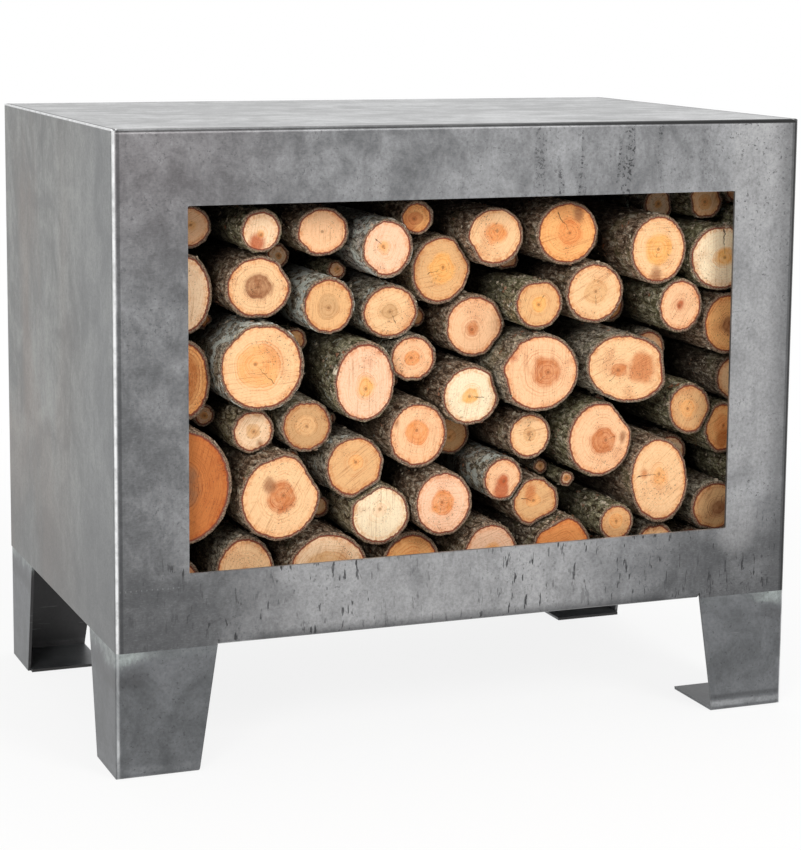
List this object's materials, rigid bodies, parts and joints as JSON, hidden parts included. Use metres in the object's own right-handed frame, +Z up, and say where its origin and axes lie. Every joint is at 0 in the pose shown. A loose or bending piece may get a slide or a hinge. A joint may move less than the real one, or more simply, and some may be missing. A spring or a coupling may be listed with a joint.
{
  "type": "log box",
  "caption": "Raw steel log box on folded legs, with a wide window in its front and a stack of round logs inside that draw out towards the front.",
  "frame": {"origin": "on the ground, under the middle of the box", "axes": "+X to the right seen from the front, +Y from the window to the rear, +Z up"},
  "size_m": [0.7, 0.45, 0.6],
  "materials": {
    "steel": "raw hot-rolled sheet, unpainted, with mill scale",
    "weld": "welded bead, unpainted",
    "log": "fresh-sawn end grain with bark round it"
  },
  "bodies": {
    "box": {"folded_shell": "steel", "rear_panel": "steel", "floor_panel": "steel", "front_left_leg": "steel", "front_right_leg": "steel", "rear_left_leg": "steel", "rear_right_leg": "steel", "leg_welds": "weld", "panel_welds": "weld", "log_a1": "log", "log_a2": "log", "log_a3": "log", "log_a4": "log", "log_a5": "log", "log_a6": "log", "log_a7": "log", "log_a8": "log", "log_b1": "log", "log_c7": "log", "log_c8": "log", "log_d1": "log", "log_e7": "log", "log_f1": "log", "log_f5": "log", "lodged_sticks": "log", "side_logs": "log"},
    "log_b2": {"log_b2": "log"},
    "log_b3": {"log_b3": "log"},
    "log_b4": {"log_b4": "log"},
    "log_b5": {"log_b5": "log"},
    "log_b6": {"log_b6": "log"},
    "log_b7": {"log_b7": "log"},
    "log_c1": {"log_c1": "log"},
    "log_c2": {"log_c2": "log"},
    "log_c3": {"log_c3": "log"},
    "log_c4": {"log_c4": "log"},
    "log_c5": {"log_c5": "log"},
    "log_c6": {"log_c6": "log"},
    "log_d2": {"log_d2": "log"},
    "log_d3": {"log_d3": "log"},
    "log_d4": {"log_d4": "log"},
    "log_d5": {"log_d5": "log"},
    "log_d6": {"log_d6": "log"},
    "log_d7": {"log_d7": "log"},
    "log_e1": {"log_e1": "log"},
    "log_e2": {"log_e2": "log"},
    "log_e3": {"log_e3": "log"},
    "log_e4": {"log_e4": "log"},
    "log_e5": {"log_e5": "log"},
    "log_e6": {"log_e6": "log"},
    "log_f2": {"log_f2": "log"},
    "log_f3": {"log_f3": "log"},
    "log_f4": {"log_f4": "log"},
    "log_g1": {"log_g1": "log"},
    "log_g2": {"log_g2": "log"},
    "log_g3": {"log_g3": "log"},
    "log_g4": {"log_g4": "log"},
    "log_g5": {"log_g5": "log"},
    "log_g6": {"log_g6": "log"}
  },
  "joints": [
    {"name": "draw_log_b2", "type": "slide", "parent": "box", "child": "log_b2", "axis": [0, -1, 0], "range_m": [0, 0.46]},
    {"name": "draw_log_b3", "type": "slide", "parent": "box", "child": "log_b3", "axis": [0, -1, 0], "range_m": [0, 0.46]},
    {"name": "draw_log_b4", "type": "slide", "parent": "box", "child": "log_b4", "axis": [0, -1, 0], "range_m": [0, 0.46]},
    {"name": "draw_log_b5", "type": "slide", "parent": "box", "child": "log_b5", "axis": [0, -1, 0], "range_m": [0, 0.46]},
    {"name": "draw_log_b6", "type": "slide", "parent": "box", "child": "log_b6", "axis": [0, -1, 0], "range_m": [0, 0.46]},
    {"name": "draw_log_b7", "type": "slide", "parent": "box", "child": "log_b7", "axis": [0, -1, 0], "range_m": [0, 0.46]},
    {"name": "draw_log_c1", "type": "slide", "parent": "box", "child": "log_c1", "axis": [0, -1, 0], "range_m": [0, 0.46]},
    {"name": "draw_log_c2", "type": "slide", "parent": "box", "child": "log_c2", "axis": [0, -1, 0], "range_m": [0, 0.46]},
    {"name": "draw_log_c3", "type": "slide", "parent": "box", "child": "log_c3", "axis": [0, -1, 0], "range_m": [0, 0.46]},
    {"name": "draw_log_c4", "type": "slide", "parent": "box", "child": "log_c4", "axis": [0, -1, 0], "range_m": [0, 0.46]},
    {"name": "draw_log_c5", "type": "slide", "parent": "box", "child": "log_c5", "axis": [0, -1, 0], "range_m": [0, 0.46]},
    {"name": "draw_log_c6", "type": "slide", "parent": "box", "child": "log_c6", "axis": [0, -1, 0], "range_m": [0, 0.46]},
    {"name": "draw_log_d2", "type": "slide", "parent": "box", "child": "log_d2", "axis": [0, -1, 0], "range_m": [0, 0.46]},
    {"name": "draw_log_d3", "type": "slide", "parent": "box", "child": "log_d3", "axis": [0, -1, 0], "range_m": [0, 0.46]},
    {"name": "draw_log_d4", "type": "slide", "parent": "box", "child": "log_d4", "axis": [0, -1, 0], "range_m": [0, 0.46]},
    {"name": "draw_log_d5", "type": "slide", "parent": "box", "child": "log_d5", "axis": [0, -1, 0], "range_m": [0, 0.46]},
    {"name": "draw_log_d6", "type": "slide", "parent": "box", "child": "log_d6", "axis": [0, -1, 0], "range_m": [0, 0.46]},
    {"name": "draw_log_d7", "type": "slide", "parent": "box", "child": "log_d7", "axis": [0, -1, 0], "range_m": [0, 0.46]},
    {"name": "draw_log_e1", "type": "slide", "parent": "box", "child": "log_e1", "axis": [0, -1, 0], "range_m": [0, 0.46]},
    {"name": "draw_log_e2", "type": "slide", "parent": "box", "child": "log_e2", "axis": [0, -1, 0], "range_m": [0, 0.46]},
    {"name": "draw_log_e3", "type": "slide", "parent": "box", "child": "log_e3", "axis": [0, -1, 0], "range_m": [0, 0.46]},
    {"name": "draw_log_e4", "type": "slide", "parent": "box", "child": "log_e4", "axis": [0, -1, 0], "range_m": [0, 0.46]},
    {"name": "draw_log_e5", "type": "slide", "parent": "box", "child": "log_e5", "axis": [0, -1, 0], "range_m": [0, 0.46]},
    {"name": "draw_log_e6", "type": "slide", "parent": "box", "child": "log_e6", "axis": [0, -1, 0], "range_m": [0, 0.46]},
    {"name": "draw_log_f2", "type": "slide", "parent": "box", "child": "log_f2", "axis": [0, -1, 0], "range_m": [0, 0.46]},
    {"name": "draw_log_f3", "type": "slide", "parent": "box", "child": "log_f3", "axis": [0, -1, 0], "range_m": [0, 0.46]},
    {"name": "draw_log_f4", "type": "slide", "parent": "box", "child": "log_f4", "axis": [0, -1, 0], "range_m": [0, 0.46]},
    {"name": "draw_log_g1", "type": "slide", "parent": "box", "child": "log_g1", "axis": [0, -1, 0], "range_m": [0, 0.46]},
    {"name": "draw_log_g2", "type": "slide", "parent": "box", "child": "log_g2", "axis": [0, -1, 0], "range_m": [0, 0.46]},
    {"name": "draw_log_g3", "type": "slide", "parent": "box", "child": "log_g3", "axis": [0, -1, 0], "range_m": [0, 0.46]},
    {"name": "draw_log_g4", "type": "slide", "parent": "box", "child": "log_g4", "axis": [0, -1, 0], "range_m": [0, 0.46]},
    {"name": "draw_log_g5", "type": "slide", "parent": "box", "child": "log_g5", "axis": [0, -1, 0], "range_m": [0, 0.46]},
    {"name": "draw_log_g6", "type": "slide", "parent": "box", "child": "log_g6", "axis": [0, -1, 0], "range_m": [0, 0.46]}
  ]
}
